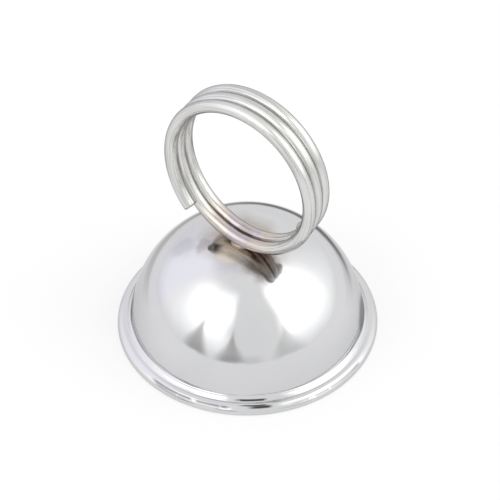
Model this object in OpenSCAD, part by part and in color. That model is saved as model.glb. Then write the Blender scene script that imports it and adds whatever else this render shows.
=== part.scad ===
// Place card holder: a ring clip of round wire, wound nearly three times and welded to the
// top of a hollow pressed dome. A card pushed down between two turns of the wire is held.
// Millimetres, +Z up. The origin is the middle of the foot, on the table. The ring faces -Y.

/* [Dome base] */
// Outside diameter, over the curled rim
base_d = 38.1; // [34:0.1:60]
// Height of the top of the dome above the table
dome_h = 17.3; // [13:0.1:22]
// How far the rim stands out past the side of the dome
rim_reach = 2.05; // [1.9:0.05:4]
// Thickness of the sheet
sheet_t = 0.6; // [0.4:0.05:0.9]
// Outside diameter of the curl that makes the rim
curl_d = 2.2; // [2:0.05:3]
// How far round the sheet is curled, from the top of the rim, in degrees
curl_turn = 270; // [180:5:275]
// Radius of the hollow fillet between the dome and the rim
fillet_r = 0.7; // [0.3:0.05:1]
// Depth of the flat ground under the curl, on which the holder stands
foot_flat = 0.1; // [0.05:0.01:0.2]

/* [Ring clip] */
// Diameter of the wire
wire_d = 1.8; // [1:0.05:2.5]
// Inside diameter of the ring
ring_inner_d = 21; // [14:0.5:30]
// Number of times that the wire goes round, counting the open turn as one
loops = 3; // [2:1:5]
// How far each end of the wire stops short of the bottom of the ring, in degrees
end_short = 45; // [20:5:80]
// Width of the slot between two turns, as with a card in it
card_slot = 0.42; // [0.41:0.01:1]
// How far the ring leans back, in degrees
ring_lean = 3; // [0:0.5:8]
// How far in front of the dome's own centre the middle plane of the ring passes
ring_front_set = 2.25; // [0:0.05:3]
// How far the ring stands to the right of the dome's own centre
ring_side_set = 0.5; // [0:0.05:2]

/* [Weld] */
// Diameter of a weld nugget
weld_d = 1.6; // [1.2:0.1:2]
// Least gap between the wire and the dome, which the weld fills
weld_gap = 0.1; // [0.05:0.01:0.2]

/* [Hidden] */

polished_steel = "#cfd0d2";
wire_steel = "#c3c5c7";
weld_steel = "#a89a86";

$fn = 120;
wire_sides = 48;
// Sides of the round faces that shape a weld nugget, and how far the wire that is cut out of
// the nugget reaches to each side of it, in degrees along the wire
weld_sides = 256;
weld_cut_turn = 15;
// Sides of the straight-edged slice that picks out an arc
slice_steps = 8;
// A slice reaches this many times as far out as the arc that it picks out
slice_reach_share = 2;

// The curl is a hollow roll, cut flat by the table
curl_r = curl_d / 2;
curl_x = base_d / 2 - curl_r;
curl_z = curl_r - foot_flat;
flange_z = curl_z + curl_r;

// The outer face of the dome is part of a sphere
dome_r = base_d / 2 - rim_reach;
dome_z = dome_h - dome_r;

// The fillet runs into the dome's sphere on one side and the flat flange on the other. It
// bites into the sphere by a hair, so that the two round faces cross and don't only touch.
fillet_bite = 0.0001;
fillet_z = flange_z + fillet_r;
fillet_x = sqrt(pow(dome_r + fillet_r - fillet_bite, 2) - pow(fillet_z - dome_z, 2));

// The wire is wound as half turns. Each is half of a circle, tilted so that it climbs by half
// the pitch and runs straight on into the next.
wire_r = wire_d / 2;
coil_r = ring_inner_d / 2 + wire_r;
pitch = wire_d + card_slot;
bend_r = norm([coil_r, pitch / 4]);
bend_tilt = asin(pitch / 4 / bend_r);

// Angles along the wire, where each multiple of 360 is the right-hand side of the ring
wind_start = 90 + end_short;
wind_end = 90 + 360 * loops - end_short;
wind_middle = (wind_start + wind_end) / 2;

// Turns that pass over the dome, and where each lies along the ring's axis
seat_offsets = [for (i = [0:loops - 2]) pitch * (i - (loops - 2) / 2)];
// Distance from the dome's centre to the middle of a wire that lies weld_gap off the dome
seat_r = dome_r + weld_gap + wire_r;
// Distance in the ring's plane from the dome's centre to the ring's, for the lowest seat
ring_rise = coil_r + max([for (s = seat_offsets) sqrt(pow(seat_r, 2) - pow(s - ring_front_set, 2))]);
// Middle of the ring, from the dome's centre, before the lean
ring_place = [ring_side_set, -ring_front_set, sqrt(pow(ring_rise, 2) - pow(ring_side_set, 2))];

// How high the half turn that begins at this angle lies, before the wire climbs along it
function half_turn_z(half) = pitch * (180 * half - wind_middle) / 360;

// A point on the middle line of the wire, at an angle along it
function wire_point(a) =
    let (half = floor(a / 180), side = half % 2 == 0 ? 1 : -1, t = a - 180 * half)
    [
        side * bend_r * cos(t) * cos(bend_tilt),
        side * bend_r * sin(t),
        half_turn_z(half) + pitch / 4 - bend_r * cos(t) * sin(bend_tilt)
    ];

// The least gap between one turn and the next, measured on points along the wire
points_per_turn = 48;
wire_points = [for (a = [wind_start:360 / points_per_turn:wind_end]) wire_point(a)];
turn_gaps = [
    for (i = [0:len(wire_points) - 1], j = [i + points_per_turn / 2:1:len(wire_points) - 1])
        norm(wire_points[i] - wire_points[j]) - wire_d
];
echo(least_gap_between_turns = min(turn_gaps));

// Where the wire of one seat comes nearest to the dome, from the dome's centre, before the lean
function seat_point(s) =
    let (share = 1 - coil_r / ring_rise)
    [ring_place.x * share, ring_place.y + s, ring_place.z * share];

// A slice of a disc between two angles, wider than an arc of this radius
module slice(r, from, to) {
    reach = slice_reach_share * r;
    polygon(concat(
        [[0, 0]],
        [for (i = [0:slice_steps]) let (a = from + (to - from) * i / slice_steps) reach * [cos(a), sin(a)]]
    ));
}

// Section of all that lies under one face of the sheet, from the middle of the dome out to the
// curl. The inset is none for the outer face, and the sheet's thickness for the inner one.
module under_sheet(inset, foot_z) {
    difference() {
        union() {
            translate([0, dome_z])
                intersection() {
                    circle(r = dome_r - inset);
                    translate([0, -dome_r])
                        square([dome_r, 2 * dome_r]);
                }
            polygon([[0, foot_z], [fillet_x, foot_z], [fillet_x, fillet_z], [0, dome_z]]);
        }
        translate([fillet_x, fillet_z])
            circle(r = fillet_r + inset);
    }
    translate([0, foot_z])
        square([curl_x, flange_z - inset - foot_z]);
}

// Section of the whole pressing, which stands on the table
module base_section() {
    difference() {
        union() {
            under_sheet(0, -base_d);
            translate([curl_x, curl_z])
                circle(r = curl_r);
        }
        difference() {
            under_sheet(sheet_t, -2 * base_d);
            translate([curl_x, curl_z])
                intersection() {
                    circle(r = curl_r);
                    slice(curl_r, 90 - curl_turn, 90);
                }
        }
        translate([curl_x, curl_z])
            circle(r = curl_r - sheet_t);
        translate([0, -curl_d])
            square([base_d, curl_d]);
    }
}

// The pressed dome with its curled rim, open underneath
module dome_base() {
    color(polished_steel)
        rotate_extrude()
            base_section();
}

// The wire between two angles along it, from this half turn on, drawn about the middle of the
// half turn. The next half turn is tipped about the very end of this one, so they meet squarely.
module half_turns(half, from, to, sides) {
    start = max(from - 180 * half, 0);
    end = min(to - 180 * half, 180);
    if (end > start)
        rotate_extrude(angle = end - start, start = start)
            translate([bend_r, 0])
                circle(r = wire_r, $fn = sides);
    if (to > 180 * (half + 1))
        translate([-bend_r, 0, 0])
            rotate([0, -2 * bend_tilt, 0])
                translate([bend_r, 0, 0])
                    rotate([0, 0, 180])
                        half_turns(half + 1, from, to, sides);
}

// The wound wire between two angles along it, about its own axis, which is +Z here
module wound_wire(from, to, sides) {
    translate([0, 0, half_turn_z(0) + pitch / 4])
        rotate([0, bend_tilt, 0])
            half_turns(0, from, to, sides);
}

// Puts what is drawn about the dome's centre at its real place, leaned back with the ring
module lean_with_ring() {
    translate([0, 0, dome_z])
        rotate([-ring_lean, 0, 0])
            children();
}

// Puts what is drawn about the ring's own axis at its real place, with that axis along Y
module place_in_ring() {
    lean_with_ring()
        translate(ring_place)
            rotate([-90, 0, 0])
                children();
}

// The ring clip, one length of round spring wire
module ring_clip() {
    color(wire_steel)
        place_in_ring()
            wound_wire(wind_start, wind_end, wire_sides);
}

// One weld nugget, filling the gap between the dome and the turn that passes over it
module weld_nugget(seat_number) {
    seat = seat_point(seat_offsets[seat_number]);
    gap = norm(seat) - dome_r - wire_r;
    bottom = 360 * (seat_number + 1) + 90;
    difference() {
        lean_with_ring()
            translate(seat * (dome_r + gap / 2) / norm(seat))
                sphere(d = weld_d);
        place_in_ring()
            wound_wire(bottom - weld_cut_turn, bottom + weld_cut_turn, weld_sides);
        translate([0, 0, dome_z])
            sphere(r = dome_r);
    }
}

// A weld nugget under each turn that passes over the dome
module ring_weld() {
    color(weld_steel)
        for (i = [0:len(seat_offsets) - 1])
            weld_nugget(i, $fn = weld_sides);
}

dome_base();
ring_clip();
ring_weld();
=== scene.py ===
import math

import bmesh
import bpy
from mathutils import Matrix, Vector


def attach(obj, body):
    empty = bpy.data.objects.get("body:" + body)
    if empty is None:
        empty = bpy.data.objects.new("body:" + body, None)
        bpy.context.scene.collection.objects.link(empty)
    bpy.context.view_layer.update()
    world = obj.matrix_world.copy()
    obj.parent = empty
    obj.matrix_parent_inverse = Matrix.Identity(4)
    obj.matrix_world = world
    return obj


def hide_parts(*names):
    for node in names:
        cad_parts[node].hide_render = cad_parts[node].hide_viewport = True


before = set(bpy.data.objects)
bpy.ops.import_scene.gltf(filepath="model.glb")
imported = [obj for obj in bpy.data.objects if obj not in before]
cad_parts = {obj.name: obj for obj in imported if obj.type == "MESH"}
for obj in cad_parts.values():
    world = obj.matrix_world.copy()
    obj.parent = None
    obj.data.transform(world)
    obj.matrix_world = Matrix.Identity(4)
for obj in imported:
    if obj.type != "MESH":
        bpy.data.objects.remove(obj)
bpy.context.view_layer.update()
# Sizes without a unit are in millimetres
MM = 0.001


# The shot.
# A small object seen from well above and from its right, through a long lens a third of a
# metre away. The angles are those at which the outlines fall on the photographed ones.
view_azimuth = math.radians(37.224)
view_height = math.radians(45.699)
view_distance = 318.2 * MM
view_pan = math.radians(0.111)
view_tilt = math.radians(43.884)
view_roll = math.radians(-0.423)
sensor_width = 36.0
# Focal length of the lens, as a share of the sensor's width
focal_share = 4.3594
near_clip = 10 * MM


def in_scene(name, data):
    thing = bpy.data.objects.new(name, data)
    bpy.context.collection.objects.link(thing)
    return thing


def turned(vector):
    return Matrix.Rotation(view_azimuth, 3, "Z") @ vector


def aim_camera():
    from_holder = Vector((0, -math.cos(view_height), math.sin(view_height)))
    place = turned(from_holder) * view_distance
    ahead = Vector((
        math.sin(view_pan) * math.cos(view_tilt),
        math.cos(view_pan) * math.cos(view_tilt),
        -math.sin(view_tilt),
    ))
    right = ahead.cross(Vector((0, 0, 1))).normalized()
    up = right.cross(ahead)
    rolled_right = right * math.cos(view_roll) + up * math.sin(view_roll)
    rolled_up = up * math.cos(view_roll) - right * math.sin(view_roll)
    columns = [turned(v) for v in (rolled_right, rolled_up, -ahead)]
    data = bpy.data.cameras.new("product_camera")
    data.sensor_width = sensor_width
    data.lens = sensor_width * focal_share
    data.clip_start = near_clip
    camera = in_scene("product_camera", data)
    camera.matrix_world = Matrix.Translation(place) @ Matrix(columns).transposed().to_4x4()
    bpy.context.scene.camera = camera


aim_camera()


# Dome base.
# One pressing of stainless sheet: a hollow dome with a sharp bend at its foot, a sloping
# shoulder, and a rim rolled over outwards and under, then polished to a mirror on a spindle.
dome_radius = 17.0
dome_centre_z = 0.3
sheet = 0.6
# How far above its own middle the dome ends, as an angle in degrees
foot_angle = 6.0
# The sheet beyond the foot of the dome, bend after bend: the radius of each, and how steeply
# the face looks up where it ends, in degrees. A face that looks up more than before is hollow.
rim_bends = ((0.24, 55), (2.1, 38), (0.3, 85), (1.6, 50), (1.0, 0))
# Under the rim: where the rolled edge leaves the table again, how round it turns up there, how
# far out its cut edge reaches, and how high the underside of the shoulder begins beside it
roll_flat_r = 18.0
roll_under_r = 0.55
sheet_edge_r = 17.85
under_shoulder_z = 0.8
# How finely the arc of the dome, each bend and the full round are drawn
dome_steps = 88
bend_steps = 14
round_steps = 256
# Points of the outline that lie closer than this are one point
same_point = 1e-6


def off(centre, radius, angle):
    """The point that lies off another by a radius, in a direction in degrees."""
    turn = math.radians(angle)
    return centre[0] + radius * math.cos(turn), centre[1] + radius * math.sin(turn)


def arc(centre, radius, start, end, steps):
    return [off(centre, radius, start + (end - start) * i / steps) for i in range(steps + 1)]


def without_repeats(points):
    kept = [points[0]]
    for point in points[1:]:
        if math.dist(point, kept[-1]) > same_point:
            kept.append(point)
    return kept


def bent(start, looks_up, bends):
    """Follows a sheet outward from a point, through bends that run smoothly into each other."""
    points = [start]
    for radius, looks_up_after in bends:
        hollow = looks_up_after > looks_up
        centre = off(points[-1], radius, looks_up + (0 if hollow else 180))
        side = 180 if hollow else 0
        points += arc(centre, radius, side + looks_up, side + looks_up_after, bend_steps)
        looks_up = looks_up_after
    return points


def pressing_outline():
    """Half of the sheet's section: its outer face, the underside of the rim, its inner face."""
    dome_middle = (0, dome_centre_z)
    foot = off(dome_middle, dome_radius, foot_angle)
    outer = arc(dome_middle, dome_radius, 90, foot_angle, dome_steps)
    outer += bent(foot, foot_angle, rim_bends)
    widest_r, widest_z = outer[-1]
    under = arc((widest_r - widest_z, widest_z), widest_z, 0, -90, bend_steps)
    under += arc((roll_flat_r, roll_under_r), roll_under_r, -90, -180, bend_steps)
    first_radius, first_angle = rim_bends[0]
    bend = off(foot, first_radius, foot_angle)
    inner = [(sheet_edge_r, roll_under_r), (sheet_edge_r, under_shoulder_z)]
    inner += arc(bend, first_radius + sheet, 180 + first_angle, 180 + foot_angle, bend_steps)
    inner += arc(dome_middle, dome_radius - sheet, foot_angle, 90, dome_steps)
    return without_repeats(outer + under + inner)


def revolved(name, outline, steps):
    """Turns an outline that begins and ends on the axis into a closed piece."""
    vertices = [(0, 0, outline[0][1] * MM)]
    for r, z in outline[1:-1]:
        for j in range(steps):
            angle = 2 * math.pi * j / steps
            vertices.append((r * math.cos(angle) * MM, r * math.sin(angle) * MM, z * MM))
    vertices.append((0, 0, outline[-1][1] * MM))
    last = len(vertices) - 1
    rings = len(outline) - 2
    faces = []
    for j in range(steps):
        k = (j + 1) % steps
        faces.append((0, 1 + j, 1 + k))
        for i in range(rings - 1):
            a, b = 1 + i * steps, 1 + (i + 1) * steps
            faces.append((a + j, b + j, b + k, a + k))
        a = 1 + (rings - 1) * steps
        faces.append((a + j, last, a + k))
    mesh = bpy.data.meshes.new(name)
    mesh.from_pydata(vertices, [], faces)
    mesh.update()
    mesh.shade_smooth()
    return in_scene(name, mesh)


def new_material(name):
    material = bpy.data.materials.new(name)
    material.use_nodes = True
    tree = material.node_tree
    tree.nodes.clear()
    output = tree.nodes.new("ShaderNodeOutputMaterial")
    shader = tree.nodes.new("ShaderNodeBsdfPrincipled")
    tree.links.new(shader.outputs["BSDF"], output.inputs["Surface"])
    return material, tree, shader


def put(tree, socket, value):
    """Gives a socket a colour or a number, or else what another node makes."""
    if isinstance(value, tuple):
        socket.default_value = (*value, 1.0)
    elif isinstance(value, (int, float)):
        socket.default_value = value
    else:
        tree.links.new(value, socket)


class Sums:
    """Short words for the Math nodes of one tree."""

    def __init__(self, tree):
        self.tree = tree

    def do(self, operation, *values):
        node = self.tree.nodes.new("ShaderNodeMath")
        node.operation = operation
        for socket, value in zip(node.inputs, values):
            put(self.tree, socket, value)
        return node.outputs[0]

    def add(self, *values):
        total = values[0]
        for value in values[1:]:
            total = self.do("ADD", total, value)
        return total

    def times(self, *values):
        total = values[0]
        for value in values[1:]:
            total = self.do("MULTIPLY", total, value)
        return total

    def less(self, first, second):
        return self.do("SUBTRACT", first, second)

    def over(self, first, second):
        return self.do("DIVIDE", first, second)


def soft_step(tree, value, start, end, low=0.0, high=1.0):
    """Goes smoothly from low to high while the value goes from start to end."""
    node = tree.nodes.new("ShaderNodeMapRange")
    node.interpolation_type = "SMOOTHSTEP"
    tree.links.new(value, node.inputs["Value"])
    node.inputs["From Min"].default_value = start
    node.inputs["From Max"].default_value = end
    node.inputs["To Min"].default_value = low
    node.inputs["To Max"].default_value = high
    return node.outputs["Result"]


# Where a Mix node that mixes colours keeps its share, its two colours and its result
mix_share = 0
mix_first = 6
mix_second = 7
mix_result = 2


def mixed_colour(tree, share, first, second):
    node = tree.nodes.new("ShaderNodeMix")
    node.data_type = "RGBA"
    put(tree, node.inputs[mix_share], share)
    put(tree, node.inputs[mix_first], first)
    put(tree, node.inputs[mix_second], second)
    return node.outputs[mix_result]


def noise(tree, vector, scale, detail=2.0, roughness=0.5):
    node = tree.nodes.new("ShaderNodeTexNoise")
    node.inputs["Scale"].default_value = scale
    node.inputs["Detail"].default_value = detail
    node.inputs["Roughness"].default_value = roughness
    tree.links.new(vector, node.inputs["Vector"])
    return node.outputs["Fac"]


def object_place(tree):
    return tree.nodes.new("ShaderNodeTexCoord").outputs["Object"]


def split_up(tree, vector):
    node = tree.nodes.new("ShaderNodeSeparateXYZ")
    tree.links.new(vector, node.inputs[0])
    return node.outputs["X"], node.outputs["Y"], node.outputs["Z"]


def put_together(tree, x, y, z=0.0):
    node = tree.nodes.new("ShaderNodeCombineXYZ")
    for socket, value in zip(node.inputs, (x, y, z)):
        put(tree, socket, value)
    return node.outputs[0]


def vector_sum(tree, operation, first, second):
    node = tree.nodes.new("ShaderNodeVectorMath")
    node.operation = operation
    tree.links.new(first, node.inputs[0])
    node.inputs[1].default_value = second
    return node.outputs[0]


def distance_from(tree, place, spot, stretch=(1.0, 1.0, 1.0)):
    offset = vector_sum(tree, "SUBTRACT", place, spot)
    node = tree.nodes.new("ShaderNodeVectorMath")
    node.operation = "LENGTH"
    tree.links.new(vector_sum(tree, "MULTIPLY", offset, stretch), node.inputs[0])
    return node.outputs["Value"]


def degrees_round(tree, x, y):
    """How far round the upright axis a place lies, in degrees from -Y towards +X."""
    sums = Sums(tree)
    return sums.times(sums.do("ARCTAN2", x, sums.times(y, -1.0)), 180 / math.pi)


def bump(tree, shader, height, distance, strength=1.0):
    node = tree.nodes.new("ShaderNodeBump")
    node.inputs["Strength"].default_value = strength
    node.inputs["Distance"].default_value = distance
    tree.links.new(height, node.inputs["Height"])
    tree.links.new(node.outputs["Normal"], shader.inputs["Normal"])


noise_middle = 0.5


def wandering(tree, place, grain, reach):
    """A distance that wanders to both sides of nought, which makes an edge ragged."""
    sums = Sums(tree)
    return sums.times(sums.less(noise(tree, place, *grain), noise_middle), reach)


def heat_rings(tree, distance, base, rings):
    """Colours round a spot, each with its far and near reach, and how strongly it covers."""
    colour = base
    for far, near, tint, share in rings:
        mask = soft_step(tree, distance, far * MM, near * MM, 0.0, share)
        colour = mixed_colour(tree, mask, colour, tint)
    return colour


# The sheet where it is brightest, where it is duller, and where one looks along its face
steel_face = (0.665, 0.667, 0.675)
steel_dull = (0.63, 0.632, 0.64)
steel_edge = (0.80, 0.80, 0.80)
# Grain of each pattern in the polish: its scale, and where needed its detail and roughness
cloud_grain = (90.0, 3.0)
stain_edge_grain = (420.0, 3.0)
streak_break_grain = (700.0, 3.0, 0.6)
haze_grain = (260.0, 4.0, 0.6)
wave_grain = (150.0, 2.0, 0.4)
hair_line_grain = (5200.0, 2.0)
rim_line_grain = (2800.0, 2.0)
rim_patch_grain = (120.0, 2.0)
# The part of each grain over which its pattern comes in
cloud_range = (0.35, 0.7)
streak_break_range = (0.3, 0.42)
haze_range = (0.3, 0.75)
rim_patch_range = (0.38, 0.62)
# How rough the polish is with least and most haze, and what the weld and the rim add to it
haze_rough = (0.05, 0.10)
weld_rough = 0.14
weld_rough_reach = (6.0 * MM, 2.0 * MM)
rim_rough = 0.03
rim_rough_reach = (17.0 * MM, 17.3 * MM)
# Relief of the polish, and the shares of it that the lines have
polish_relief = 0.12 * MM
hair_line_share = 0.006
rim_line_share = 0.9
rim_line_reach = (17.0 * MM, 17.2 * MM)
rim_patch_least = 0.15
# The middle of the weld, how the stain round it is drawn out and how far its edge wanders, and
# the oxide colours in it, from the outside in
weld_spot = Vector((0.33, -1.30, 17.25)) * MM
weld_stretch = (0.8, 1.0, 1.0)
stain_wander = 2.4 * MM
dome_heat = (
    (6.6, 4.4, (0.50, 0.485, 0.46), 0.55),
    (4.9, 3.5, (0.45, 0.39, 0.34), 0.6),
    (3.5, 2.5, (0.62, 0.53, 0.43), 0.65),
    (2.1, 1.2, (0.28, 0.22, 0.22), 0.85),
)
# Where the welding heat and the hand have marked the dome: the place of each stain, its far
# and near reach, its colour and how strongly it covers. The first, dark brown one, under the
# wire in front of the weld, is partly heat tint and partly painted shade and painted reflection
# of the wire
stains_and_wire_shade = (
    (Vector((5.1, -2.9, 16.2)), 3.3, 1.3, (0.17, 0.135, 0.115), 0.8),
    (Vector((0.2, -4.2, 16.75)), 2.2, 0.9, (0.78, 0.68, 0.56), 0.75),
    (Vector((-4.0, -4.6, 16.2)), 1.5, 0.6, (0.30, 0.27, 0.26), 0.45),
    (Vector((-7.2, -5.6, 14.6)), 2.4, 0.8, (0.46, 0.46, 0.47), 0.5),
)
# The side that is seen in front, in degrees round the holder
front_side = 37.2
# Dark arcs along the rim, in its valley and along its top: the three in front are a painted
# reflection of the camera, the three at the sides darker streaks. The radius of each arc, half
# its width, where it begins and ends round the rim, in degrees from the side seen in front, and
# how strongly it covers
reflection_and_streak_black = (0.04, 0.04, 0.04)
reflection_and_streak_arcs = (
    (17.38, 0.14, -5.0, 8.0, 0.95),
    (18.12, 0.12, -3.0, 8.0, 0.95),
    (18.36, 0.22, 1.0, 10.0, 0.95),
    (18.46, 0.20, -46.0, -9.0, 0.62),
    (18.68, 0.12, -44.0, -12.0, 0.50),
    (18.58, 0.18, 20.0, 58.0, 0.55),
)
# The share of a streak's width that is fully black, and how softly it begins and ends
streak_core = 0.4
streak_begin_soft = 2.5
streak_end_soft = 1.5
# The same black laid up from the bend at the foot of the dome, at both sides, as a painted dark
# reflection: its middle and half its length round the dome, in degrees from the side seen in
# front, the height of its top, and how strongly it covers
foot_dark_reflections = ((84.0, 15.0, 5.8, 0.74), (-92.0, 13.0, 5.4, 0.74))
# Height of that bend, how ragged each painted reflection is, where it fades as a share of its
# size, and where it ends at the foot of the dome
foot_z = 2.1
foot_reflection_wander = 0.3 / MM
foot_reflection_edge = (1.3, 0.3)
foot_reflection_limit = (17.05 * MM, 16.95 * MM)


def with_rim_arcs(tree, colour, radius, sideways, broken):
    """Lays the dark arcs along the rim over a colour: a painted reflection of the camera in
    front, darker streaks at the sides.
    """
    sums = Sums(tree)
    for arc_r, half_width, first, last, share in reflection_and_streak_arcs:
        aside = sums.do("ABSOLUTE", sums.less(radius, arc_r * MM))
        core = streak_core * half_width * MM
        on_line = soft_step(tree, aside, half_width * MM, core, 0.0, share)
        begins = soft_step(tree, sideways, first - streak_begin_soft, first + streak_begin_soft)
        ends = soft_step(tree, sideways, last - streak_end_soft, last + streak_end_soft, 1.0, 0.0)
        covered = sums.times(on_line, begins, ends, broken)
        # Painted reflection of the camera in front, darker streaks at the sides.
        colour = mixed_colour(tree, covered, colour, reflection_and_streak_black)
    return colour


def with_foot_reflections(tree, colour, radius, sideways, height, wander):
    """Lays the painted dark reflections at the foot of the dome over a colour, and says where the
    metal is left unpainted.
    """
    sums = Sums(tree)
    unpainted_metal = 1.0
    on_dome = soft_step(tree, radius, *foot_reflection_limit)
    # Painted dark reflection at each side of the dome's foot.
    for middle, half_length, top, share in foot_dark_reflections:
        across = sums.over(sums.less(sideways, middle), half_length)
        above = sums.over(sums.less(height, foot_z * MM), (top - foot_z) * MM)
        ragged = sums.times(wander, foot_reflection_wander)
        reach = sums.add(sums.times(across, across), sums.times(above, above), ragged)
        covered = sums.times(soft_step(tree, reach, *foot_reflection_edge, 0.0, share), on_dome)
        colour = mixed_colour(tree, covered, colour, reflection_and_streak_black)
        unpainted_metal = sums.times(unpainted_metal, sums.less(1.0, covered))
    return colour, unpainted_metal


def polished_sheet():
    material, tree, shader = new_material("polished_sheet")
    sums = Sums(tree)
    place = object_place(tree)
    x, y, z = split_up(tree, place)
    radius = distance_from(tree, place, (0.0, 0.0, 0.0), (1.0, 1.0, 0.0))
    profile = put_together(tree, radius, z)
    sideways = sums.less(degrees_round(tree, x, y), front_side)
    # The plain metal, then the stains of the weld with the painted shade under the wire, then the
    # painted reflections and darker streaks along the rim and at the foot of the dome.
    cloud = soft_step(tree, noise(tree, place, *cloud_grain), *cloud_range)
    colour = mixed_colour(tree, cloud, steel_face, steel_dull)
    wander = wandering(tree, place, stain_edge_grain, stain_wander)
    from_weld = sums.add(distance_from(tree, place, weld_spot, weld_stretch), wander)
    colour = heat_rings(tree, from_weld, colour, dome_heat)
    # The first patch is partly heat tint, partly painted shade and painted reflection of the
    # wire.
    for spot, far, near, tint, share in stains_and_wire_shade:
        reach = sums.add(distance_from(tree, place, spot * MM), wander)
        colour = heat_rings(tree, reach, colour, ((far, near, tint, share),))
    broken = soft_step(tree, noise(tree, place, *streak_break_grain), *streak_break_range)
    colour = with_rim_arcs(tree, colour, radius, sideways, broken)
    colour, unpainted_metal = with_foot_reflections(tree, colour, radius, sideways, z, wander)
    tree.links.new(colour, shader.inputs["Base Color"])
    # The painted dark reflections at the foot hide the metal, and have no shine of their own.
    tree.links.new(unpainted_metal, shader.inputs["Metallic"])
    shader.inputs["Specular IOR Level"].default_value = 0.0
    shader.inputs["Specular Tint"].default_value = (*steel_edge, 1.0)
    haze = soft_step(tree, noise(tree, place, *haze_grain), *haze_range, *haze_rough)
    near_weld = soft_step(tree, from_weld, *weld_rough_reach, 0.0, weld_rough)
    on_rim = soft_step(tree, radius, *rim_rough_reach, 0.0, rim_rough)
    tree.links.new(sums.add(haze, near_weld, on_rim), shader.inputs["Roughness"])
    # The spindle leaves hair lines round the axis, the roller coarser ones in patches along
    # the rim, and the press a slow waviness.
    waves = noise(tree, place, *wave_grain)
    hair_lines = sums.times(noise(tree, profile, *hair_line_grain), hair_line_share)
    patches = noise(tree, place, *rim_patch_grain)
    rim_lines = sums.times(
        noise(tree, profile, *rim_line_grain),
        rim_line_share,
        soft_step(tree, patches, *rim_patch_range, rim_patch_least, 1.0),
        soft_step(tree, radius, *rim_line_reach),
    )
    bump(tree, shader, sums.add(hair_lines, waves, rim_lines), polish_relief)
    return material


dome_base = revolved("polished_dome_base", pressing_outline(), round_steps)
dome_base.data.materials.append(polished_sheet())
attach(dome_base, "root")
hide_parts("dome_base")


# Ring clip.
# One length of bright round spring wire, wound nearly three times on a mandrel and cropped
# square at both ends. The turns lie against each other, and a card is pushed down between.
wire_radius = 0.9
ring_radius = 11.4
turn_pitch = 1.90
# The middle of the ring, and how far the ring leans back
ring_middle = Vector((0.569, -0.766, 29.668)) * MM
ring_lean = math.radians(3.0)
# Where the wire begins and ends, in degrees along it from the left of the ring, and how many
# turns along the middle of the winding lies
wind_from = -46.9
wind_to = 945.0
winding_middle_turn = 1.375
# How much of a turn strays at the front end, and how far back and outward its tip is. The tip
# sinks a little into the next turn there.
free_end_turns = 0.5
free_end_back = 0.30
free_end_spread = 0.26
# How far to the right of the turn before it, how far above it and how much wider each turn is
turn_side_shift = -0.206
turn_rise = 0.141
turn_growth = -0.047
# How finely the wire is drawn along its length and round it
wire_points = 900
wire_sides = 48
# How far from each end the cropped edge is rounded
crop_round = 0.10


def group_node(tree, kind, **settings):
    node = tree.nodes.new(kind)
    for key, value in settings.items():
        setattr(node, key, value)
    return node


def stored(tree, geometry, name, value):
    """Keeps a number under a name at each point of a curve."""
    node = group_node(
        tree, "GeometryNodeStoreNamedAttribute", data_type="FLOAT", domain="POINT"
    )
    node.inputs["Name"].default_value = name
    tree.links.new(geometry, node.inputs["Geometry"])
    put(tree, node.inputs["Value"], value)
    return node.outputs[0]


def add_winding_sizes(tree):
    """Gives the tree a named input for each size of the winding."""
    sizes = (
        ("Wire radius", wire_radius * MM),
        ("Ring radius", ring_radius * MM),
        ("Turn pitch", turn_pitch * MM),
        ("First angle", math.radians(wind_from)),
        ("Last angle", math.radians(wind_to)),
        ("Free end back", free_end_back * MM),
        ("Free end spread", free_end_spread * MM),
        ("Side shift per turn", turn_side_shift * MM),
        ("Rise per turn", turn_rise * MM),
        ("Growth per turn", turn_growth * MM),
        ("Crop round", crop_round * MM),
    )
    for name, value in sizes:
        socket = tree.interface.new_socket(name, in_out="INPUT", socket_type="NodeSocketFloat")
        socket.default_value = value


def wound_place(tree, given, wound):
    """Where the middle line of the wire has come to, once it is wound through an angle."""
    sums = Sums(tree)
    angle = sums.add(given["First angle"], wound)
    turns = sums.over(wound, 2 * math.pi)
    from_middle = sums.less(turns, winding_middle_turn)
    free = sums.do("MAXIMUM", sums.less(1.0, sums.over(turns, free_end_turns)), 0.0)
    free = sums.times(free, free)
    radius = sums.add(
        given["Ring radius"],
        sums.times(given["Growth per turn"], from_middle),
        sums.times(given["Free end spread"], free),
    )
    across = sums.add(
        sums.times(radius, sums.do("COSINE", angle), -1.0),
        sums.times(given["Side shift per turn"], from_middle),
    )
    back = sums.add(
        sums.times(given["Turn pitch"], from_middle),
        sums.times(given["Free end back"], free),
    )
    upward = sums.add(
        sums.times(radius, sums.do("SINE", angle)),
        sums.times(given["Rise per turn"], from_middle),
    )
    return put_together(tree, across, back, upward)


def cropped_girth(tree, given, length, whole):
    """The full girth of the wire, but for the rounded edge of the crop at each end."""
    sums = Sums(tree)
    to_end = sums.do("MINIMUM", length, sums.less(whole, length))
    near_crop = sums.do("MINIMUM", sums.over(to_end, given["Crop round"]), 1.0)
    rest = sums.less(1.0, near_crop)
    deepest = sums.over(given["Crop round"], given["Wire radius"])
    return sums.less(1.0, sums.times(rest, rest, deepest))


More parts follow.
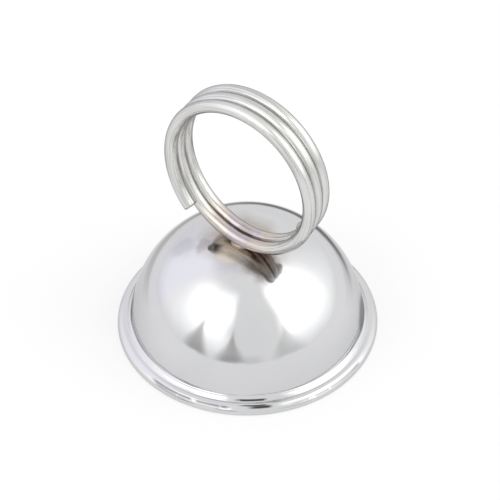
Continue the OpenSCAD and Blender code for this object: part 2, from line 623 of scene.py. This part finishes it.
def round_wire(tree, path, radius, index):
    """A round section drawn along a path, with the girth that is stored on the path."""
    section = group_node(tree, "GeometryNodeCurvePrimitiveCircle", mode="RADIUS")
    section.inputs["Resolution"].default_value = wire_sides
    put(tree, section.inputs["Radius"], radius)
    share_round = Sums(tree).over(index, wire_sides)
    around = stored(tree, section.outputs["Curve"], "around", share_round)
    girth = group_node(tree, "GeometryNodeInputNamedAttribute", data_type="FLOAT")
    girth.inputs["Name"].default_value = "girth"
    sweep = group_node(tree, "GeometryNodeCurveToMesh")
    sweep.inputs["Fill Caps"].default_value = True
    tree.links.new(path, sweep.inputs["Curve"])
    tree.links.new(around, sweep.inputs["Profile Curve"])
    tree.links.new(girth.outputs[0], sweep.inputs["Scale"])
    smooth = group_node(tree, "GeometryNodeSetShadeSmooth")
    tree.links.new(sweep.outputs[0], smooth.inputs["Geometry"])
    return smooth.outputs[0]


def winding_tree(material):
    """A wire that follows the winding: its middle line by formula, then a round section."""
    tree = bpy.data.node_groups.new("wound_wire", "GeometryNodeTree")
    tree.interface.new_socket("Geometry", in_out="OUTPUT", socket_type="NodeSocketGeometry")
    tree.interface.new_socket("Geometry", in_out="INPUT", socket_type="NodeSocketGeometry")
    add_winding_sizes(tree)
    given = group_node(tree, "NodeGroupInput").outputs
    sums = Sums(tree)
    # The middle line of the wire, point by point from the front end.
    line = group_node(tree, "GeometryNodeMeshLine")
    line.inputs["Count"].default_value = wire_points
    index = group_node(tree, "GeometryNodeInputIndex").outputs[0]
    span = sums.less(given["Last angle"], given["First angle"])
    wound = sums.times(span, sums.over(index, wire_points - 1))
    move = group_node(tree, "GeometryNodeSetPosition")
    tree.links.new(line.outputs["Mesh"], move.inputs["Geometry"])
    tree.links.new(wound_place(tree, given, wound), move.inputs["Position"])
    stand = group_node(tree, "GeometryNodeTransform")
    stand.inputs["Translation"].default_value = ring_middle
    stand.inputs["Rotation"].default_value = (-ring_lean, 0, 0)
    tree.links.new(move.outputs[0], stand.inputs["Geometry"])
    path = group_node(tree, "GeometryNodeMeshToCurve")
    tree.links.new(stand.outputs[0], path.inputs["Mesh"])
    # The wire round that line.
    length = sums.times(wound, given["Ring radius"])
    whole = sums.times(span, given["Ring radius"])
    path_along = stored(tree, path.outputs[0], "along", length)
    path_girth = stored(tree, path_along, "girth", cropped_girth(tree, given, length, whole))
    wire = round_wire(tree, path_girth, given["Wire radius"], index)
    real = group_node(tree, "GeometryNodeRealizeInstances")
    tree.links.new(wire, real.inputs[0])
    finish = group_node(tree, "GeometryNodeSetMaterial")
    finish.inputs["Material"].default_value = material
    tree.links.new(real.outputs[0], finish.inputs["Geometry"])
    end = group_node(tree, "NodeGroupOutput")
    tree.links.new(finish.outputs[0], end.inputs[0])
    return tree


def plain_result(name, tree):
    """Runs a tree once and keeps what it made as a plain mesh."""
    holder = in_scene(name + "_maker", bpy.data.meshes.new(name + "_maker"))
    maker = holder.modifiers.new("maker", "NODES")
    maker.node_group = tree
    for socket in tree.interface.items_tree:
        if socket.in_out == "INPUT" and socket.socket_type == "NodeSocketFloat":
            maker[socket.identifier] = socket.default_value
    seen = holder.evaluated_get(bpy.context.evaluated_depsgraph_get())
    mesh = bpy.data.meshes.new_from_object(seen)
    holder.modifiers.remove(maker)
    bpy.data.objects.remove(holder)
    mesh.name = name
    return in_scene(name, mesh)


# The wire where it is brightest, where it is duller, and where one looks along its face
wire_face = (0.695, 0.692, 0.675)
wire_dull = (0.655, 0.652, 0.635)
wire_edge = (0.42, 0.42, 0.43)
wire_cloud_grain = (240.0, 3.0)
wire_cloud_range = (0.3, 0.7)
# The heat of the weld coloured the wire too. Near the weld, the side of the wire that faces the
# dome is painted darker brown: painted shade
wire_heat_grain = (500.0, 2.0)
wire_heat_wander = 3.0 * MM
wire_heat = (
    (8.4, 6.0, (0.68, 0.61, 0.51), 0.5),
    (6.0, 4.4, (0.60, 0.50, 0.46), 0.5),
    (4.2, 3.0, (0.47, 0.44, 0.50), 0.6),
    (2.4, 1.4, (0.34, 0.30, 0.28), 0.8),
)
shade_under_wire_brown = (0.33, 0.265, 0.21)
shade_under_wire_share = 0.85
shade_under_wire_reach = (9.0 * MM, 3.0 * MM)
# How far above the dome's face the painted shade on the wire's underside begins, and where it
# is full
shade_under_wire_above_dome = (1.2, 0.4)
# Lines of the drawing die: how long they are drawn out, how fine, dark and deep
line_stretch = 14.0
line_grain = (7.0, 3.0)
streak_grey = (0.32, 0.32, 0.31)
streak_share = 0.6
streak_range = (0.5, 0.66)
line_rough_range = (0.3, 0.7)
line_rough = (0.09, 0.18)
line_relief = 0.05 * MM
# The dark lip that the crop left round the front end
lip_grey = (0.22, 0.22, 0.22)
lip_share = 0.65
lip_reach = (0.35 * MM, 0.08 * MM)


def stored_number(tree, name):
    node = tree.nodes.new("ShaderNodeAttribute")
    node.attribute_name = name
    return node.outputs["Fac"]


def bright_wire():
    material, tree, shader = new_material("polished_wire")
    sums = Sums(tree)
    place = object_place(tree)
    cloud = soft_step(tree, noise(tree, place, *wire_cloud_grain), *wire_cloud_range)
    colour = mixed_colour(tree, cloud, wire_face, wire_dull)
    wander = wandering(tree, place, wire_heat_grain, wire_heat_wander)
    from_weld = sums.add(distance_from(tree, place, weld_spot), wander)
    colour = heat_rings(tree, from_weld, colour, wire_heat)
    from_dome_middle = distance_from(tree, place, Vector((0, 0, dome_centre_z)) * MM)
    begins, full = ((dome_radius + above) * MM for above in shade_under_wire_above_dome)
    underside = soft_step(tree, from_dome_middle, begins, full)
    # Painted shade: darker brown on the underside of the wire near the weld, close to the dome.
    shade_under_wire = sums.times(underside, soft_step(tree, from_weld, *shade_under_wire_reach, 0.0, shade_under_wire_share))
    colour = mixed_colour(tree, shade_under_wire, colour, shade_under_wire_brown)
    # The lines run along the wire and close round it.
    along = stored_number(tree, "along")
    turn = sums.times(stored_number(tree, "around"), 2 * math.pi)
    drawn = put_together(
        tree, sums.times(along, line_stretch), sums.do("COSINE", turn), sums.do("SINE", turn)
    )
    lines = noise(tree, drawn, *line_grain)
    streaks = soft_step(tree, lines, *streak_range, 0.0, streak_share)
    colour = mixed_colour(tree, streaks, colour, streak_grey)
    lip = soft_step(tree, along, *lip_reach, 0.0, lip_share)
    colour = mixed_colour(tree, lip, colour, lip_grey)
    tree.links.new(colour, shader.inputs["Base Color"])
    shader.inputs["Metallic"].default_value = 1.0
    shader.inputs["Specular Tint"].default_value = (*wire_edge, 1.0)
    rough = soft_step(tree, lines, *line_rough_range, *line_rough)
    tree.links.new(rough, shader.inputs["Roughness"])
    bump(tree, shader, lines, line_relief)
    return material


ring_clip = plain_result("wound_ring_clip", winding_tree(bright_wire()))
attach(ring_clip, "root")
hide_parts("ring_clip")


# Ring weld.
# Two small runs of weld metal, one under each turn that passes over the top of the dome.
# They flow out onto the wire and the dome, ripple as they freeze, and take a straw tint.
# The middle of each run, seen from above, and half its size each way
weld_places = ((0.355, -2.27), (0.312, -0.37))
weld_half_length = 1.25
weld_half_width = 0.82
weld_half_height = 0.42
# How far above the dome's face the middle of a run lies
weld_lift = 0.08
# Ripples across a run: how many, how deep for its size, and how far they slant
weld_ripples = 9
ripple_depth = 0.035
ripple_slant = 2.0
# The uneven edge of a run: how deep, how many bays round it, and how it differs by place
bay_depth = 0.05
bays_round = 3.1
bay_shift = 5.0
# How finely a run is drawn from its top to its bottom and round it
weld_rings = 28
weld_round = 56
# Points of a run that lie closer than this are one point
weld_same_point = 0.0005 * MM


def weld_mesh():
    vertices, faces = [], []
    for x, y in weld_places:
        top = dome_centre_z + math.sqrt(dome_radius ** 2 - x * x - y * y)
        first = len(vertices)
        for i in range(weld_rings + 1):
            polar = math.pi * i / weld_rings
            for j in range(weld_round):
                turn = 2 * math.pi * j / weld_round
                along = math.sin(polar) * math.cos(turn)
                beside = math.sin(polar) * math.sin(turn)
                ripple_angle = weld_ripples * along * math.pi + ripple_slant * beside
                ripple = 1 + ripple_depth * math.sin(ripple_angle)
                ripple += bay_depth * math.sin(bays_round * turn + bay_shift * y)
                aside = weld_half_length * along * ripple
                back = weld_half_width * beside * ripple
                raised = weld_half_height * math.cos(polar)
                # How far the dome has fallen away there from the middle of the run.
                fall = (aside * aside + back * back) / (2 * dome_radius)
                fall += (aside * x + back * y) / dome_radius
                height = top + weld_lift - fall + raised
                vertices.append(((x + aside) * MM, (y + back) * MM, height * MM))
        for i in range(weld_rings):
            for j in range(weld_round):
                k = (j + 1) % weld_round
                a = first + i * weld_round
                b = a + weld_round
                faces.append((a + j, b + j, b + k, a + k))
    mesh = bpy.data.meshes.new("weld_runs")
    mesh.from_pydata(vertices, [], faces)
    mesh.validate()
    return mesh


def closed_and_outward(mesh):
    work = bmesh.new()
    work.from_mesh(mesh)
    bmesh.ops.remove_doubles(work, verts=work.verts, dist=weld_same_point)
    bmesh.ops.recalc_face_normals(work, faces=work.faces)
    work.to_mesh(mesh)
    work.free()
    mesh.update()
    mesh.shade_smooth()


# The two tints of the weld metal, the grain in which they and its dullness come and go, and
# how deep that grain is
weld_straw = (0.38, 0.31, 0.23)
weld_grey = (0.30, 0.27, 0.28)
weld_grain = (1900.0, 4.0)
weld_tint_range = (0.3, 0.7)
weld_dull_range = (0.3, 0.8)
weld_dull = (0.22, 0.42)
weld_relief = 0.03 * MM
weld_relief_share = 0.5


def weld_metal():
    material, tree, shader = new_material("weld_metal")
    spots = noise(tree, object_place(tree), *weld_grain)
    tint = soft_step(tree, spots, *weld_tint_range)
    tree.links.new(mixed_colour(tree, tint, weld_straw, weld_grey), shader.inputs["Base Color"])
    shader.inputs["Metallic"].default_value = 1.0
    rough = soft_step(tree, spots, *weld_dull_range, *weld_dull)
    tree.links.new(rough, shader.inputs["Roughness"])
    bump(tree, shader, spots, weld_relief, weld_relief_share)
    return material


weld_data = weld_mesh()
closed_and_outward(weld_data)
ring_weld = in_scene("weld_runs", weld_data)
ring_weld.data.materials.append(weld_metal())
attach(ring_weld, "root")
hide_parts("ring_weld")


# Table.
# A plain white studio table under the holder, with a painted shadow of the holder in an arc
# behind it, which shows only as a dark line in the polished steel. It isn't part of the object.
table_half = 1500 * MM
table_white = (0.80, 0.80, 0.80)
# How far the table turns to plain white for the camera, and in the steel
table_seen_white = 0.6
table_mirrored_white = 0.3
# The painted shadow lies in an arc behind the holder: where it comes in and goes out as one
# looks further back, and how it fades towards the front and towards each end
painted_shadow_grey = (0.22, 0.22, 0.22)
painted_shadow_squeeze = (1.15, 1.0, 1.0)
painted_shadow_near = (30.6 * MM, 39.6 * MM)
painted_shadow_far = (54.0 * MM, 72.0 * MM)
painted_shadow_front = (2.0 * MM, 30.0 * MM)
painted_shadow_left = (-30.0 * MM, 10.0 * MM)
painted_shadow_left_share = 0.45
painted_shadow_right = (28.0 * MM, 40.0 * MM)
painted_shadow_right_share = 0.3


def as_seen(tree, vector):
    """Turns a place or a direction so that +Y runs away from the camera."""
    turn = tree.nodes.new("ShaderNodeVectorRotate")
    turn.rotation_type = "Z_AXIS"
    turn.inputs["Angle"].default_value = -view_azimuth
    tree.links.new(vector, turn.inputs["Vector"])
    return turn.outputs[0]


def white_table():
    material = bpy.data.materials.new("white_table")
    material.use_nodes = True
    tree = material.node_tree
    tree.nodes.clear()
    sums = Sums(tree)
    output = tree.nodes.new("ShaderNodeOutputMaterial")
    rays = tree.nodes.new("ShaderNodeLightPath").outputs
    place = as_seen(tree, object_place(tree))
    x, y = split_up(tree, place)[:2]
    away = distance_from(tree, place, (0.0, 0.0, 0.0), painted_shadow_squeeze)
    # Painted shadow of the holder on the table, which only the steel mirrors.
    painted_shadow = sums.times(
        soft_step(tree, away, *painted_shadow_near),
        soft_step(tree, away, *painted_shadow_far, 1.0, 0.0),
        soft_step(tree, y, *painted_shadow_front),
        soft_step(tree, x, *painted_shadow_left, painted_shadow_left_share, 1.0),
        soft_step(tree, x, *painted_shadow_right, 1.0, painted_shadow_right_share),
        rays["Is Glossy Ray"],
    )
    paint = tree.nodes.new("ShaderNodeBsdfDiffuse")
    tree.links.new(mixed_colour(tree, painted_shadow, table_white, painted_shadow_grey), paint.inputs["Color"])
    glow = tree.nodes.new("ShaderNodeEmission")
    glow.inputs["Color"].default_value = (1, 1, 1, 1)
    # The camera sees the table near white. The steel mirrors it greyer, and greyest the painted
    # shadow.
    seen = sums.times(rays["Is Camera Ray"], table_seen_white)
    mirrored = sums.times(rays["Is Glossy Ray"], table_mirrored_white, sums.less(1.0, painted_shadow))
    mix = tree.nodes.new("ShaderNodeMixShader")
    tree.links.new(sums.do("MAXIMUM", seen, mirrored), mix.inputs[0])
    tree.links.new(paint.outputs[0], mix.inputs[1])
    tree.links.new(glow.outputs[0], mix.inputs[2])
    tree.links.new(mix.outputs[0], output.inputs["Surface"])
    return material


table_mesh = bpy.data.meshes.new("table")
table_corners = ((-1, -1), (1, -1), (1, 1), (-1, 1))
table_mesh.from_pydata(
    [(x * table_half, y * table_half, 0) for x, y in table_corners], [], [(0, 1, 2, 3)]
)
table = in_scene("table", table_mesh)
table_mesh.materials.append(white_table())


# Studio light.
# A white tent with a broad soft lamp on each side of the camera, a faint glow further round on
# each side, and a few grey gaps near the table. The polished steel mirrors it all, and it
# lights the table evenly.
tent_level = 1.0
# Edges are given in degrees, each with how soft it is. Degrees round the tent count from the
# side of the camera, and degrees up from the table.
# Each lamp or glow: left and right edge, bottom and top edge, and its strength
tent_lamps = (
    ((-74, 30), (-23, 8), (26, 22), (57, 16), 1.30),
    ((40, 9), (103, 22), (19, 22), (65, 10), 1.30),
    ((-135, 14), (-20, 8), (7, 8), (62, 10), 0.20),
    ((60, 20), (132, 12), (5, 6), (62, 10), 0.18),
)
# Each gap: middle, half width at its foot, height of its tip, and how dark it is
tent_gaps = ((-50, 12, 34, 0.50), (-16, 12, 30, 0.42), (39, 17, 30, 0.24))
# Half the width of a gap at its tip, where it fades as a share of its half width, the soft edge
# of its foot, and how soft its tip is
gap_tip_half_width = 1.5
gap_side = (0.3, 1.4)
gap_foot_edge = (0.5, 2.5)
gap_tip_soft = 6.0
# A faint shade along the foot of the tent, below the camera
shade_edges = ((-28, 8), (12, 8), (0.5, 1.5), (7, 4))
shade_depth = 0.16
# The cloth of the tent at the back left is a little bluer
blue_edges = ((-160, 20), (-95, 12))
tent_white = (1.0, 1.0, 1.0)
tent_blue = (0.98, 0.97, 1.04)


def between(tree, value, first, last):
    """One between two soft edges, and nought outside them."""
    rise = soft_step(tree, value, first[0] - first[1], first[0] + first[1])
    fall = soft_step(tree, value, last[0] - last[1], last[0] + last[1], 1.0, 0.0)
    return Sums(tree).times(rise, fall)


def patch(tree, sideways, height, left, right, bottom, top):
    return Sums(tree).times(
        between(tree, sideways, left, right), between(tree, height, bottom, top)
    )


def studio_world():
    world = bpy.data.worlds.new("studio")
    bpy.context.scene.world = world
    world.use_nodes = True
    tree = world.node_tree
    tree.nodes.clear()
    sums = Sums(tree)
    output = tree.nodes.new("ShaderNodeOutputWorld")
    direction = tree.nodes.new("ShaderNodeTexCoord").outputs["Generated"]
    x, y, z = split_up(tree, as_seen(tree, direction))
    sideways = degrees_round(tree, x, y)
    height = sums.times(sums.do("ARCSINE", z), 180 / math.pi)
    level = tent_level
    for left, right, bottom, top, strength in tent_lamps:
        lit = patch(tree, sideways, height, left, right, bottom, top)
        level = sums.add(sums.times(lit, strength), level)
    for middle, half_width, tip, depth in tent_gaps:
        away = sums.do("ABSOLUTE", sums.less(sideways, middle))
        taper = soft_step(tree, height, 0.0, tip, half_width, gap_tip_half_width)
        across = soft_step(tree, sums.over(away, taper), *gap_side, 1.0, 0.0)
        upright = between(tree, height, gap_foot_edge, (tip, gap_tip_soft))
        level = sums.times(level, sums.less(1.0, sums.times(across, upright, depth)))
    shade = patch(tree, sideways, height, *shade_edges)
    level = sums.times(level, sums.less(1.0, sums.times(shade, shade_depth)))
    tent = tree.nodes.new("ShaderNodeBackground")
    tint = mixed_colour(tree, between(tree, sideways, *blue_edges), tent_white, tent_blue)
    tree.links.new(tint, tent.inputs["Color"])
    tree.links.new(level, tent.inputs["Strength"])
    white = tree.nodes.new("ShaderNodeBackground")
    white.inputs["Color"].default_value = (1, 1, 1, 1)
    white.inputs["Strength"].default_value = 1.0
    # The camera sees plain white behind the holder, and everything else the tent.
    rays = tree.nodes.new("ShaderNodeLightPath").outputs
    mix = tree.nodes.new("ShaderNodeMixShader")
    tree.links.new(rays["Is Camera Ray"], mix.inputs[0])
    tree.links.new(tent.outputs[0], mix.inputs[1])
    tree.links.new(white.outputs[0], mix.inputs[2])
    tree.links.new(mix.outputs[0], output.inputs["Surface"])


studio_world()
bpy.context.scene.view_settings.view_transform = "Standard"
